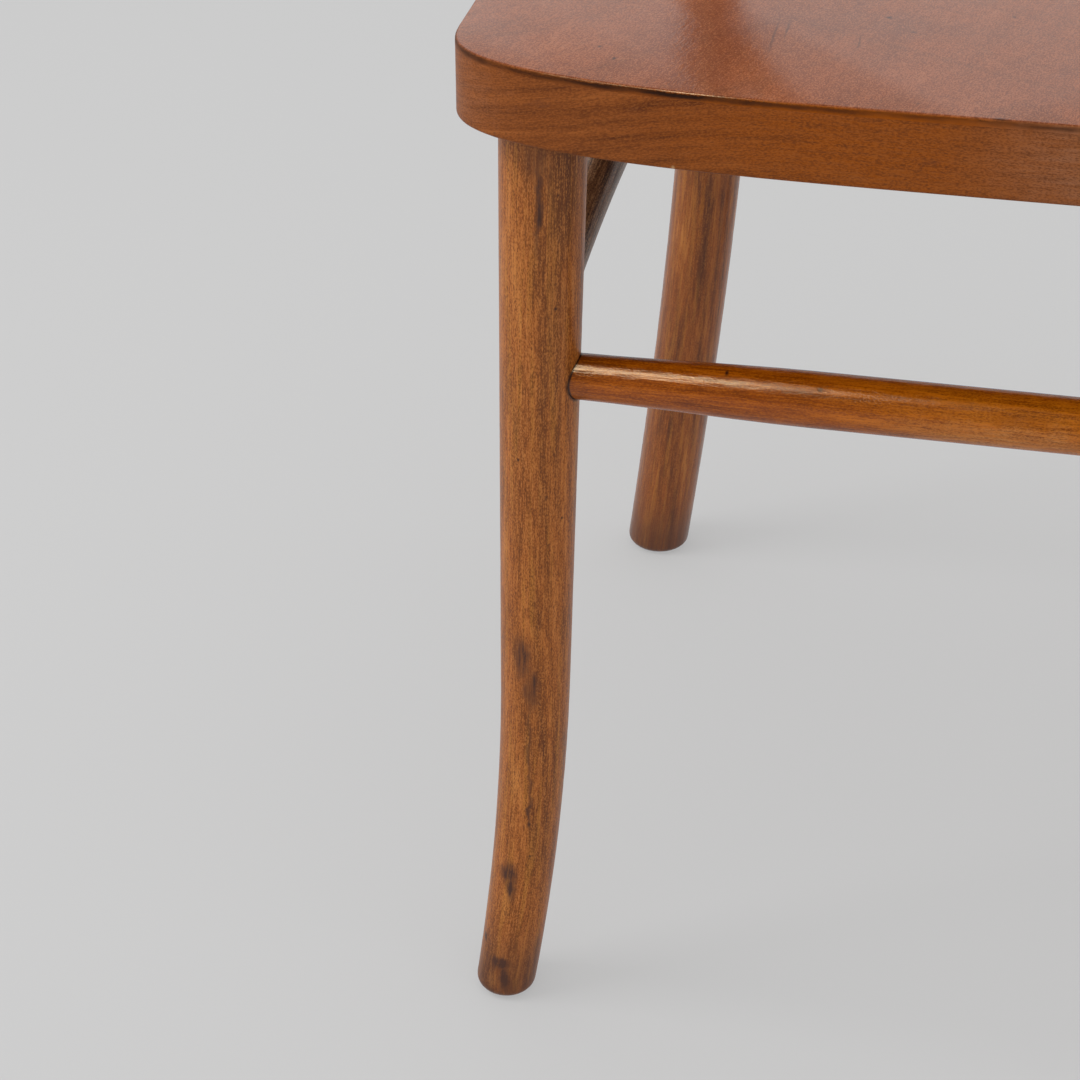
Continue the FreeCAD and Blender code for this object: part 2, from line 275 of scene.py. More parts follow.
def lay_ring_grain(piece):
    # The ring's grain runs round it, so its stock is kept face by face, with one joint at the back.
    edge = seat_edge_points(720)
    following = np.roll(edge, -1, axis=0)
    lengths = np.linalg.norm(following - edge, axis=1)
    run = np.concatenate([[0.0], np.cumsum(lengths)])
    points = points_of(piece.data)
    apart = np.linalg.norm(points[:, None, :2] - edge[None, :, :], axis=2)
    nearest = apart.argmin(axis=1)
    inward = apart.min(axis=1)
    forward = (following - edge) / lengths[:, None]
    along = run[nearest] + ((points[:, :2] - edge[nearest]) * forward[nearest]).sum(axis=1)
    mesh = piece.data
    corners = np.zeros(len(mesh.loops), np.int32)
    mesh.loops.foreach_get("vertex_index", corners)
    stock = np.stack([inward, points[:, 2], along], axis=1)[corners].astype(np.float32)
    faces = stock.reshape(-1, 3, 3)
    torn = (faces[:, :, 2].max(axis=1) - faces[:, :, 2].min(axis=1)) > run[-1] / 2
    mended = faces[torn]
    mended[:, :, 2] += np.where(mended[:, :, 2] < run[-1] / 2, run[-1], 0)
    faces[torn] = mended
    held = mesh.attributes.new("stock", "FLOAT_VECTOR", "CORNER")
    held.data.foreach_set("vector", faces.ravel())


def finish_piece(piece, node_name, material):
    # Gives the piece its finish, says which body carries it, and hides the solid it stands for.
    piece.data.materials.clear()
    piece.data.materials.append(material)
    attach(piece, "root")
    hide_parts(node_name)


# Finishes


def weighed(tree, parts, base=0.0):
    # The sum of several values, each times its weight, which may be another value.
    total = base
    for value, weight in parts:
        total = add(tree, "Math", {0: value, 1: weight, 2: total}, operation="MULTIPLY_ADD").outputs[0]
    return total


def faded(tree, *steps):
    # A mask: each step is a value and the two limits where it makes the mask 0 and 1. Several steps
    # show only where they overlap.
    masks = [
        add(tree, "MapRange", {0: value, 1: none_at, 2: full_at}, interpolation_type="SMOOTHSTEP")
        for value, none_at, full_at in steps
    ]
    shown = masks[0].outputs[0]
    for mask in masks[1:]:
        shown = weighed(tree, [(shown, mask.outputs[0])])
    return shown


def strongest(tree, masks):
    # The highest of several masks at each point.
    top = masks[0]
    for mask in masks[1:]:
        top = add(tree, "Math", {0: top, 1: mask}, operation="MAXIMUM").outputs[0]
    return top


def grain(tree, stock, seed, size, detail, limits=None):
    # Soft streaks of that width and length in millimetres, lying along the stock. They fade in between
    # the two limits of the noise, where it has any.
    width, length = size
    scaled = add(
        tree,
        "Mapping",
        {
            "Vector": stock,
            "Scale": (1000 / width, 1000 / width, 1000 / length),
            "Location": (seed * 3.7, seed * 1.9, seed * 5.3),
        },
    )
    noise = add(
        tree,
        "TexNoise",
        {"Vector": scaled.outputs[0], "Scale": 1.0, "Detail": detail, "Roughness": 0.55},
    )
    return faded(tree, (noise.outputs[0], *limits)) if limits else noise.outputs[0]


def growth_lines(tree, stock, spacing, length, seed):
    # The year rings where the surface cuts them: fine uneven lines, that far apart in millimetres,
    # and farther apart across the stock, where the saw cut them at a slant.
    wave = 2 * math.pi / 20
    slant = 0.62
    scaled = add(
        tree,
        "Mapping",
        {
            "Vector": stock,
            "Scale": (1000 * slant * wave / spacing, 1000 * wave / spacing, 1000 * wave / length),
            "Location": (seed * 0.7, seed * 1.3, seed * 0.9),
        },
    )
    lines = add(
        tree,
        "TexWave",
        {"Vector": scaled.outputs[0], "Scale": 1.0, "Distortion": 9.0, "Detail": 3.0, "Detail Scale": 0.55},
        bands_direction="DIAGONAL",
    )
    return lines.outputs["Fac"]


def toned(tree, value, tones):
    # A colour out of a row of (place, hex colour).
    ramp = add(tree, "ValToRGB", {0: value})
    stops = ramp.color_ramp.elements
    while len(stops) < len(tones):
        stops.new(0.5)
    for stop, (place, colour) in zip(stops, tones):
        stop.position = place
        stop.color = to_linear(colour)
    return ramp.outputs[0]


def stain_over(tree, colour, stain, mask, strength=1.0):
    # Lays a stain, in hex or as a pattern, over a colour where the mask is, at that strength.
    share = weighed(tree, [(mask, strength)])
    over = to_linear(stain) if isinstance(stain, str) else stain
    return add(tree, "Mix", {0: share, 6: colour, 7: over}, data_type="RGBA").outputs[2]


def pits(tree, stock, apart, size, seed):
    # Scattered small pits, about that far apart and that wide, in millimetres, stretched along the grain.
    stretch = 0.7
    scaled = add(
        tree,
        "Mapping",
        {
            "Vector": stock,
            "Scale": (1000 / apart, 1000 / apart, 1000 * stretch / apart),
            "Location": (seed * 2.3, seed * 4.1, seed * 1.7),
        },
    )
    cells = add(tree, "TexVoronoi", {"Vector": scaled.outputs[0], "Scale": 1.0, "Randomness": 1.0})
    return faded(tree, (cells.outputs[0], size / apart, size / apart * 0.45))


def marks(tree, place, spots, ragged, grit=160.0):
    # Soft-edged marks: each has its middle and its reach along x, y and z, in millimetres.
    rough = add(tree, "TexNoise", {"Vector": place, "Scale": grit, "Detail": 4.0, "Roughness": 0.65})
    shake = add(tree, "VectorMath", {0: rough.outputs[1], 1: (0.5, 0.5, 0.5)}, operation="SUBTRACT")
    shaken = add(
        tree,
        "VectorMath",
        {0: shake.outputs[0], 1: [ragged / 1000] * 3, 2: place},
        operation="MULTIPLY_ADD",
    ).outputs[0]
    masks = []
    for middle, reach, strength in spots:
        off = add(tree, "VectorMath", {0: shaken, 1: [m / 1000 for m in middle]}, operation="SUBTRACT")
        sized = add(
            tree, "VectorMath", {0: off.outputs[0], 1: [1000 / r for r in reach]}, operation="MULTIPLY"
        )
        away = add(tree, "VectorMath", {0: sized.outputs[0]}, operation="LENGTH").outputs["Value"]
        masks.append(weighed(tree, [(faded(tree, (away, 1.15, 0.1)), strength)]))
    return strongest(tree, masks)


def near_post(tree, place, post_x, post_y, radius, reach):
    # 1 close to a pair of upright posts, one on each side of the chair, fading to 0 at the reach.
    parts = add(tree, "SeparateXYZ", {0: place}).outputs
    across = add(tree, "Math", {0: parts[0]}, operation="ABSOLUTE").outputs[0]
    flat = add(tree, "CombineXYZ", {0: across, 1: parts[1]}).outputs[0]
    post = (post_x, post_y, 0.0)
    away = add(tree, "VectorMath", {0: flat, 1: post}, operation="DISTANCE").outputs["Value"]
    return faded(tree, (away, radius + reach, radius + reach * 0.2))


# Marks and dirt that belong to one piece


def darker_feet(tree, place, colour, broken):
    # Every foot is darker towards the floor.
    height = add(tree, "SeparateXYZ", {0: place}).outputs[2]
    low = faded(tree, (height, foot_darkening_top, foot_darkening_full))
    return stain_over(tree, colour, leg_stain, low, weighed(tree, [(broken, 0.5)], 0.30))


def leg_tints(tree, place, colour, broken):
    # Painted shade on the front legs' inner side under the seat, and flames of paler wood.
    shaded = marks(
        tree,
        place,
        [
            ((-149.5, -208.0, 402.0), (10.5, 14.0, 44.0), 1.1),
            ((-152.0, -209.0, 350.0), (7.0, 12.0, 44.0), 0.5),
        ],
        9.0,
        60.0,
    )
    colour = stain_over(tree, colour, painted_leg_shade, shaded, broken)
    lighter = marks(
        tree,
        place,
        [
            ((-167.6, -212.6, 122.0), (3.6, 9.0, 13.0), 1.0),
            ((-166.8, -209.9, 362.0), (3.2, 9.0, 28.0), 0.8),
            ((-172.0, -217.0, 54.0), (3.0, 9.0, 14.0), 0.7),
            ((-177.6, -222.0, 10.0), (3.0, 9.0, 6.0), 1.4),
        ],
        5.0,
    )
    return stain_over(tree, colour, leg_flame, lighter, broken)


def shade_and_grime_under_seat(tree, place):
    # Painted shade, with some grime, in the corner where a front leg meets the ring.
    height = add(tree, "SeparateXYZ", {0: place}).outputs[2]
    return weighed(tree, [(faded(tree, (height, ring_bottom - grime_and_shade_fade, ring_bottom)), 0.6)])


def dirt_round_rail(tree, place):
    # Grime on a front leg's inner side, in a thin line round the stretcher.
    parts = add(tree, "SeparateXYZ", {0: place}).outputs
    section = add(tree, "CombineXYZ", {1: parts[1], 2: parts[2]}).outputs[0]
    socket = (0.0, rail_joint_y, rail_height)
    away = add(tree, "VectorMath", {0: section, 1: socket}, operation="DISTANCE").outputs["Value"]
    across = add(tree, "Math", {0: parts[0]}, operation="ABSOLUTE").outputs[0]
    line = (away, rail_radius + 0.0013, rail_radius + 0.0002)
    inside = (across, rail_joint_x, rail_joint_x - grime_and_shade_fade)
    return weighed(tree, [(faded(tree, line, inside), 0.7)])


def leg_marks(tree, place, colour, broken):
    # Dark stain in the grain, small knots and dents of the front legs, their darker feet, painted shade
    # where they meet the ring, and dirt round the rail's joint.
    stained = marks(
        tree,
        place,
        [
            ((-158.5, -211.0, 414.0), (7.0, 9.0, 12.0), 0.65),
            ((-157.8, -211.0, 399.0), (1.9, 9.0, 28.0), 1.2),
            ((-164.6, -212.0, 187.0), (6.2, 9.0, 14.0), 1.2),
            ((-161.0, -212.4, 172.0), (4.6, 9.0, 15.0), 1.2),
            ((-161.6, -212.6, 136.0), (1.3, 9.0, 40.0), 0.85),
            ((-161.2, -213.8, 106.0), (1.2, 9.0, 12.0), 1.2),
            ((-171.0, -216.3, 70.5), (5.6, 9.0, 7.5), 1.5),
            ((-169.0, -216.3, 63.0), (3.4, 9.0, 9.0), 1.5),
            ((-174.6, -221.0, 20.0), (6.6, 9.0, 5.0), 1.9),
            ((-171.8, -222.0, 13.0), (3.0, 9.0, 8.0), 1.6),
        ],
        8.0,
        90.0,
    )
    colour = stain_over(tree, colour, leg_stain, stained, broken)
    colour = darker_feet(tree, place, colour, broken)
    dents = marks(
        tree,
        place,
        [
            ((-151.3, -208.8, 353.2), (0.9, 3.0, 1.1), 0.9),
            ((-150.8, -208.6, 401.2), (0.6, 3.0, 0.7), 0.8),
            ((-156.8, -211.0, 391.0), (0.9, 3.0, 4.0), 0.6),
            ((-166.3, -210.7, 284.4), (0.8, 3.0, 1.2), 0.9),
            ((-149.0, -206.1, 256.2), (0.7, 3.0, 1.1), 0.8),
            ((-154.8, -210.5, 267.7), (1.0, 3.0, 1.6), 0.5),
            ((-161.5, -214.0, 98.9), (0.9, 3.0, 2.4), 0.8),
            ((-161.0, -214.6, 81.6), (0.9, 3.0, 1.2), 0.7),
            ((-181.9, -213.8, 29.7), (1.2, 4.0, 3.2), 0.9),
        ],
        1.2,
    )
    colour = stain_over(tree, colour, dent_dark, dents)
    # Painted shade under the seat, and dirt round the rail
    shade_and_grime = strongest(tree, [shade_and_grime_under_seat(tree, place), dirt_round_rail(tree, place)])
    return stain_over(tree, colour, joint_dirt_and_seat_shade, shade_and_grime)


def rail_tints(tree, place, colour, broken):
    # The rail's middle took the stain more thinly, with a curl in the grain; its ends are browner.
    bright = marks(tree, place, [((36.0, -204.0, 322.0), (100.0, 16.0, 16.0), 0.95)], 16.0)
    colour = stain_over(tree, colour, rail_bright, bright, broken)
    curl = marks(
        tree,
        place,
        [((28.7, -204.4, 322.0), (13.0, 9.0, 3.0), 0.6), ((-93.5, -205.3, 313.9), (1.6, 4.0, 1.6), 0.6)],
        5.0,
    )
    colour = stain_over(tree, colour, rail_curl, curl, broken)
    pale = marks(tree, place, [((26.0, -204.0, 313.5), (62.0, 12.0, 9.0), 0.8)], 14.0)
    colour = stain_over(tree, colour, rail_pale, pale, broken)
    wide = near_post(tree, place, rail_joint_x, rail_joint_y, leg_radius_at_rail, 0.012)
    return stain_over(tree, colour, rail_curl, wide, 0.45)


def rail_marks(tree, place, colour, broken):
    # Two small knots, and the dark line where each rail enters its legs.
    knots = marks(
        tree,
        place,
        [((-85.0, -198.9, 327.0), (1.1, 2.0, 2.0), 1.0), ((-48.1, -202.5, 325.6), (1.7, 2.0, 1.2), 0.8)],
        0.8,
    )
    colour = stain_over(tree, colour, dent_dark, knots)
    front = near_post(tree, place, rail_joint_x, rail_joint_y, leg_radius_at_rail, 0.0009)
    rear = near_post(tree, place, rear_joint_x, rear_joint_y, rear_leg_radius, 0.0009)
    return stain_over(tree, colour, joint_dirt_and_seat_shade, strongest(tree, [front, rear]), 0.92)


def ring_tints(tree, place, colour, broken):
    # Where the stain took more amber on the ring, and where it stayed pale; the pale grey on the left front
    # corner is a painted reflection.
    amber = marks(tree, place, [((-40.0, -231.0, 441.0), (92.0, 50.0, 34.0), 1.15)], 30.0)
    colour = stain_over(tree, colour, ring_amber, amber, broken)
    pale = marks(
        tree,
        place,
        [
            ((60.0, -231.0, 440.0), (66.0, 40.0, 30.0), 1.0),
            # Painted grey reflection on the ring's left front corner
            ((-188.0, -190.0, 438.0), (26.0, 60.0, 26.0), 0.5),
        ],
        30.0,
    )
    return stain_over(tree, colour, ring_pale_and_reflection, pale, broken)


def ring_marks(tree, place, colour, broken):
    # One chip on the ring's lower edge.
    chip = marks(tree, place, [((-104.5, -229.5, 425.8), (0.9, 4.0, 1.0), 1.0)], 0.6)
    return stain_over(tree, colour, ring_chip, chip)


def panel_tints(tree, place, colour, broken):
    # Blotches of thicker stain, the warm strip along the front edge, a redder patch that is a painted dark
    # reflection of the back's upright, and a dull one.
    blotches = grain(tree, place, 23, (5.0, 9.0), 4.0, (0.50, 0.70))
    colour = stain_over(tree, colour, panel_blotch, blotches, 0.32)
    light = grain(tree, place, 29, (4.0, 8.0), 4.0, (0.52, 0.72))
    colour = stain_over(tree, colour, panel_light, light, 0.28)
    warm = marks(tree, place, [((-25.0, -205.0, 455.0), (110.0, 24.0, 60.0), 0.8)], 14.0)
    colour = stain_over(tree, colour, panel_warm, warm, 0.6)
    # Painted dark reflection of the back's upright
    painted_reflection = marks(tree, place, [((-101.0, -172.0, 455.0), (25.0, 72.0, 60.0), 0.9)], 26.0)
    colour = stain_over(tree, colour, panel_painted_reflection, painted_reflection, 0.85)
    dull = marks(tree, place, [((-34.0, -150.0, 455.0), (62.0, 17.0, 60.0), 0.9)], 20.0)
    return stain_over(tree, colour, panel_dull, dull, broken)


def panel_marks(tree, place, colour, broken):
    # Small dents, and hairline scratches that run to the front edge.
    dents = marks(
        tree,
        place,
        [
            ((-138.6, -193.0, 455.0), (1.0, 1.6, 9.0), 0.85),
            ((-131.2, -203.4, 455.0), (1.1, 1.8, 9.0), 0.85),
            ((-36.4, -142.1, 455.0), (1.6, 1.6, 9.0), 0.85),
            ((-26.2, -155.1, 455.0), (1.4, 1.2, 9.0), 0.6),
            ((10.0, -131.8, 455.0), (1.0, 1.6, 9.0), 0.7),
            ((-19.6, -222.9, 455.0), (1.0, 1.2, 9.0), 0.5),
            ((9.0, -231.0, 454.3), (4.5, 1.6, 1.2), 0.9),
        ],
        1.2,
    )
    scratches = marks(
        tree,
        place,
        [
            ((-77.0, -169.0, 455.0), (0.7, 21.0, 9.0), 0.55),
            ((-72.8, -161.0, 455.0), (0.6, 13.0, 9.0), 0.6),
            ((-45.1, -170.0, 455.0), (0.6, 9.0, 9.0), 0.5),
        ],
        1.0,
    )
    return stain_over(tree, colour, dent_dark, strongest(tree, [dents, scratches]))


def plain(tree, place, colour, broken):
    # For a finish with no tints or marks of its own.
    return colour


def along_stock(tree, place, lie, lean):
    # Where each point lies in its stock: across, through and along the grain.
    if lie in ("x", "y", "z"):
        # Straight pieces: the grain lies along that axis of the chair, or leans off it.
        turned = add(tree, "Mapping", {"Vector": place, "Rotation": (0.0, 0.0, math.radians(lean))})
        parts = add(tree, "SeparateXYZ", {0: turned.outputs[0]}).outputs
        order = {"x": (1, 2, 0), "y": (0, 2, 1), "z": (0, 1, 2)}[lie]
        return add(tree, "CombineXYZ", {i: parts[order[i]] for i in range(3)}).outputs[0]
    stock = add(tree, "Attribute", attribute_name="stock").outputs["Vector"]
    if lie == "bent":
        return stock
    # The ring: its year rings run out of the rod's side and climb across it round the front corners.
    parts = add(tree, "SeparateXYZ", {0: stock}).outputs
    climbs = [(faded(tree, (parts[2], start, end)), -rise) for start, end, rise in ring_climbs]
    height = weighed(tree, [(parts[1], 1.0)] + climbs)
    return add(tree, "CombineXYZ", {0: parts[0], 1: height, 2: parts[2]}).outputs[0]


def pored(tree, colour, fine, streaks, granules, tones):
    # Pores and pigment: dark and light grains, drawn as coarse as the render can show.
    mottle, speckle, hair = fine
    light = weighed(tree, [(mottle, 1.0 - streaks), (speckle, 0.36 * streaks), (hair, 0.64 * streaks)])
    dark = weighed(tree, [(light, -1.0)], 1.0)
    colour = stain_over(tree, colour, tones[0][1], faded(tree, (dark, 0.42, 0.92)), granules)
    return stain_over(tree, colour, tones[-1][1], faded(tree, (light, 0.42, 0.92)), granules * 0.9)


def dished(tree, place, radius):
    # The gloss leans as on a panel that sinks very slightly toward its middle, while the solid is flat.
    lean_in = add(
        tree, "VectorMath", {0: place, 1: (-1 / radius, 0.0, 0.0)}, operation="MULTIPLY"
    ).outputs[0]
    facing = add(tree, "NewGeometry").outputs["Normal"]
    sunk = add(tree, "VectorMath", {0: facing, 1: lean_in}, operation="ADD").outputs[0]
    return add(tree, "VectorMath", {0: sunk}, operation="NORMALIZE").outputs[0]


def stained_beech(
    name,
    tones,
    seed,
    lie="bent",
    own_tints=plain,
    own_marks=plain,
    edge_finish=None,
    band_width=6.0,
    band_weight=0.30,
    line_spacing=3.2,
    line_reach=20,
    line_weight=0.20,
    fibre_length=16.0,
    fibre_weight=0.22,
    cloud_weight=0.24,
    hair_length=14.0,
    streaks=0.55,
    granules=0.55,
    glow=0.0,
    gold="B8782A",
    smudge="4A2A20",
    smudge_from=0.66,
    roughness=0.42,
    shine=0.25,
    coat=0.5,
    coat_roughness=0.16,
    ripple=0.00003,
    lean=0.0,
    dish=0.0,
):
    # Beech, stained and lacquered: brown streaks along the grain, cloudy stain, small brown flecks,
    # and over them a thin coat that mirrors softly and breaks the light where the grain stands up.
    material = new_material(name)
    tree = material.node_tree
    place = add(tree, "TexCoord").outputs["Object"]
    stock = along_stock(tree, place, lie, lean)
    bands = grain(tree, stock, seed, (band_width, 120.0), 3.0, (0.32, 0.68))
    lines = growth_lines(tree, stock, line_spacing, line_spacing * line_reach, seed)
    fibre = grain(tree, stock, seed + 1, (1.0, fibre_length), 3.0, (0.30, 0.70))
    cloud = grain(tree, stock, seed + 2, (17.0, 44.0), 4.0, (0.32, 0.68))
    mottle = grain(tree, stock, seed + 3, (0.5, 1.1), 2.0, (0.28, 0.72))
    speckle = grain(tree, stock, seed + 6, (1.3, 8.0), 4.0, (0.30, 0.70))
    hair = grain(tree, stock, seed + 7, (0.5, hair_length), 2.0, (0.32, 0.68))
    broken = weighed(tree, [(mottle, 0.35), (fibre, 0.55)], 0.22)
    # The base keeps the mean at the middle of the tones, whatever the weights.
    base = (1.0 - cloud_weight - line_weight - band_weight - fibre_weight) / 2
    parts = [(bands, band_weight), (lines, line_weight), (fibre, fibre_weight), (cloud, cloud_weight)]
    colour = toned(tree, weighed(tree, parts, base), tones)
    if glow > 0:
        # Between the brown streaks run golden ones, where the wood took the stain more thinly.
        golden = grain(tree, stock, seed + 8, (2.6, 60.0), 3.0, (0.50, 0.68))
        colour = stain_over(tree, colour, gold, golden, glow)
    colour = own_tints(tree, place, colour, broken)
    colour = pored(tree, colour, (mottle, speckle, hair), streaks, granules, tones)
    smudges = grain(tree, stock, seed + 4, (8.0, 30.0), 3.0, (smudge_from, smudge_from + 0.16))
    colour = stain_over(tree, colour, smudge, smudges, 0.6)
    flecks = grain(tree, stock, seed + 5, (0.45, 2.4), 1.0, (0.62, 0.80))
    colour = stain_over(tree, colour, pore_brown, flecks, 0.45)
    holes = pits(tree, stock, 46.0, 0.7, seed)
    colour = stain_over(tree, colour, dent_dark, holes)
    colour = own_marks(tree, place, colour, broken)
    if edge_finish is not None:
        colour, worn = edge_finish(tree, place, colour)
        coat = weighed(tree, [(worn, -coat)], coat)
    height = weighed(tree, [(fibre, 0.4), (flecks, -0.5), (holes, -2.0), (mottle, 0.3)])
    under = add(tree, "Bump", {"Strength": 1.0, "Distance": 0.00005, "Height": height})
    waves = weighed(tree, [(speckle, 0.5), (fibre, 0.5), (mottle, 0.35), (holes, -1.5)])
    over = add(tree, "Bump", {"Strength": 1.0, "Distance": ripple, "Height": waves})
    if dish > 0:
        tree.links.new(dished(tree, place, dish), over.inputs["Normal"])
    rough = weighed(tree, [(mottle, 0.10), (cloud, 0.08), (smudges, 0.10)], roughness)
    shader = add(
        tree,
        "BsdfPrincipled",
        {
            "Base Color": colour,
            "Roughness": rough,
            "IOR": 1.5,
            "Specular IOR Level": shine,
            "Coat Weight": coat,
            "Coat Roughness": coat_roughness,
            "Coat IOR": 1.5,
            "Normal": under.outputs[0],
            "Coat Normal": over.outputs[0],
        },
    )
    add(tree, "OutputMaterial", {0: shader.outputs[0]})
    return material


def ring_stain(tree, place, stock):
    # The panel's edge is stained like the ring.
    streaks = grain(tree, stock, 12, (1.2, 22.0), 3.0, (0.30, 0.70))
    mottle = grain(tree, stock, 14, (0.55, 1.0), 1.0, (0.30, 0.70))
    colour = toned(tree, weighed(tree, [(streaks, 0.4), (mottle, 0.3)], 0.10), ring_tones)
    return ring_tints(tree, place, colour, 1.0), mottle


def glue_line(tree, place, stock, height, mottle):
    # Under the panel's arris runs the dark glue line, full of old dirt, deeper in two stretches.
    uneven = grain(tree, stock, 15, (6.0, 26.0), 3.0, (0.30, 0.66))
    level = weighed(tree, [(uneven, 0.0007), (mottle, 0.0003), (height, 1.0)], -0.0005)
    above = (level, panel_bottom - 0.0001, panel_bottom + 0.0017)
    below = (level, seat_top, seat_top - 0.0008)
    deep = marks(
        tree,
        place,
        [
            ((-108.0, -229.0, 454.0), (46.0, 30.0, 9.0), 0.36),
            ((-186.0, -200.0, 454.0), (26.0, 40.0, 9.0), 0.30),
        ],
        20.0,
    )
    strength = weighed(tree, [(uneven, 0.45), (deep, 1.0)], 0.30)
    return weighed(tree, [(faded(tree, above, below), strength)])


def worn_arris(tree, parts):
    # How far the coat is worn off the edge, where one stretch of the arris still shines.
    aside = add(tree, "Math", {0: parts[0], 1: shiny_arris_x}, operation="SUBTRACT").outputs[0]
    aside = add(tree, "Math", {0: aside}, operation="ABSOLUTE").outputs[0]
    stretch = (aside, shiny_arris_reach, shiny_arris_reach - shiny_arris_fade)
    shiny = faded(tree, stretch, (parts[2], seat_top - 0.0008, seat_top - 0.0005))
    worn = faded(tree, (parts[2], seat_top - 0.00001, seat_top - 0.0002))
    worn = weighed(tree, [(worn, 1.0), (shiny, -0.55)])
    return weighed(tree, [(strongest(tree, [worn, 0.0]), 0.85)])


def panel_edge(tree, place, colour):
    # The panel's edge: the ring's stain, the glue line, and a coat that is mostly worn off.
    parts = add(tree, "SeparateXYZ", {0: place}).outputs
    stock = add(tree, "Attribute", attribute_name="stock").outputs["Vector"]
    side, mottle = ring_stain(tree, place, stock)
    on_edge = faded(tree, (parts[2], seat_top - 0.00015, seat_top - 0.00045))
    colour = stain_over(tree, colour, side, on_edge)
    line = glue_line(tree, place, stock, parts[2], mottle)
    return stain_over(tree, colour, seam_dark, line), worn_arris(tree, parts)


def bare_metal(name, colour, dull, roughness, seed):
    # Old fastener metal: brushed by the driver and the years, dull in patches.
    material = new_material(name)
    tree = material.node_tree
    place = add(tree, "TexCoord").outputs["Object"]
    patches = grain(tree, place, seed, (4.0, 4.0), 4.0, (0.35, 0.65))
    scratches = grain(tree, place, seed + 1, (0.4, 2.5), 2.0)
    tint = stain_over(tree, to_linear(colour), dull, patches)
    rough = weighed(tree, [(patches, 0.22), (scratches, 0.12)], roughness)
    bump = add(tree, "Bump", {"Strength": 0.6, "Distance": 0.00004, "Height": scratches})
    shader = add(
        tree,
        "BsdfPrincipled",
        {"Base Color": tint, "Metallic": 1.0, "Roughness": rough, "Normal": bump.outputs[0]},
    )
    add(tree, "OutputMaterial", {0: shader.outputs[0]})
    return material


# Dress the chair

# Steamed, bent and lacquered: brown and golden streaks that follow the bend, under a soft gloss.
bent_rod_wood = stained_beech(
    "steam_bent_beech_red_brown",
    [(0.1, "562806"), (0.42, "82420E"), (0.68, "944E14"), (0.95, "B4702E")],
    3,
    own_marks=darker_feet,
    line_weight=0.28,
    band_weight=0.34,
    glow=0.3,
    granules=0.46,
    shine=0.1,
    coat=0.66,
)
# The ring's flat sawn side: fine amber grain along the edge, under a lacquer worn almost matt.
seat_ring_wood = stained_beech(
    "steam_bent_beech_amber",
    ring_tones,
    11,
    "ring",
    own_tints=ring_tints,
    own_marks=ring_marks,
    hair_length=9.0,
    streaks=0.3,
    line_spacing=2.8,
    line_reach=26,
    line_weight=0.25,
    band_weight=0.24,
    granules=0.5,
    shine=0.05,
    coat=0.22,
    coat_roughness=0.24,
)
# Peeled veneer under the thickest lacquer: short soft grain, much pigment, and a clear reflection.
seat_panel_veneer = stained_beech(
    "beech_veneer_red_brown",
    [(0.1, "6A3216"), (0.42, "80421F"), (0.68, "8A4824"), (0.95, "A46440")],
    19,
    "y",
    own_tints=panel_tints,
    own_marks=panel_marks,
    hair_length=5.0,
    streaks=0.22,
    edge_finish=panel_edge,
    band_width=16.0,
    line_weight=0.08,
    fibre_length=9.0,
    granules=0.72,
    smudge="5E3222",
    smudge_from=0.72,
    shine=0.05,
    coat=0.87,
    coat_roughness=0.10,
    ripple=0.000016,
    lean=16.0,
    dish=2.2,
)
# Turned, then bent at the foot: orange brown with bright streaks, and a satin that has worn thin.
front_leg_wood = stained_beech(
    "turned_beech_orange_brown",
    [(0.1, "5E2E0A"), (0.42, "8E4E18"), (0.68, "A45C22"), (0.95, "C27A3A")],
    27,
    own_tints=leg_tints,
    own_marks=leg_marks,
    glow=0.45,
    line_reach=15,
    line_weight=0.22,
    streaks=0.48,
    granules=0.8,
    shine=0.12,
    coat=0.38,
    coat_roughness=0.22,
    smudge_from=0.76,
)
# Turned straight and lacquered thickly: an even amber with long fine hairs, and soft ripples of gloss.
stretcher_wood = stained_beech(
    "turned_beech_amber",
    [(0.1, "622A00"), (0.42, "8E4300"), (0.68, "A05002"), (0.95, "BE6810")],
    35,
    "x",
    own_tints=rail_tints,
    own_marks=rail_marks,
    hair_length=18.0,
    granules=0.6,
    shine=0.0,
    coat=0.75,
    coat_roughness=0.17,
    ripple=0.00007,
    smudge_from=0.76,
)
# Painted dark for the shade it lies in under the seat, and mottled and half dull.
side_stretcher_painted_shade_wood = stained_beech(
    "steam_bent_beech_dark_painted_shade",
    [(0.1, "2E1A0C"), (0.42, "583822"), (0.68, "745034"), (0.95, "A07A56")],
    43,
    granules=0.9,
    shine=0.25,
    coat_roughness=0.26,
)
# Split and never stained: pale, dry end pieces.
wedge_wood = stained_beech(
    "bare_beech_wedge",
    [(0.1, "8A6238"), (0.42, "A67A4C"), (0.68, "B4885A"), (0.95, "C49A6C")],
    51,
    "z",
    smudge="6A4A30",
    coat=0.0,
)
# Rolled steel, gone dull and grey brown in patches.
bolt_steel = bare_metal("dulled_mild_steel", "8A8580", "4E4842", 0.34, 61)
# Turned brass, gone brown in patches.
screw_brass = bare_metal("tarnished_brass", "B8924E", "5C4A2A", 0.32, 67)


def dress_bent_piece(node_name, material, start, heading, reach):
    # The rod's middle is looked for from the start on, among the points within reach of it.
    piece = clean_copy(node_name, 40)
    line = center_line(points_of(piece.data), start, heading, walking_step, reach)
    lay_grain(piece, line, (1, 0, 0))
    finish_piece(piece, node_name, material)


for side, sign in (("right", 1), ("left", -1)):
    leg = "front_leg_" + side
    foot = (sign * front_foot_x, front_foot_y, 0.0)
    dress_bent_piece(leg, front_leg_wood, foot, (0, 0, 1), 0.026)
    arch = side + "_side_stretcher"
    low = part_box(arch)[0]
    end = (sign * rail_joint_x, low.y, low.z + rail_radius)
    dress_bent_piece(arch, side_stretcher_painted_shade_wood, end, (0, 1, 0.3), 0.018)

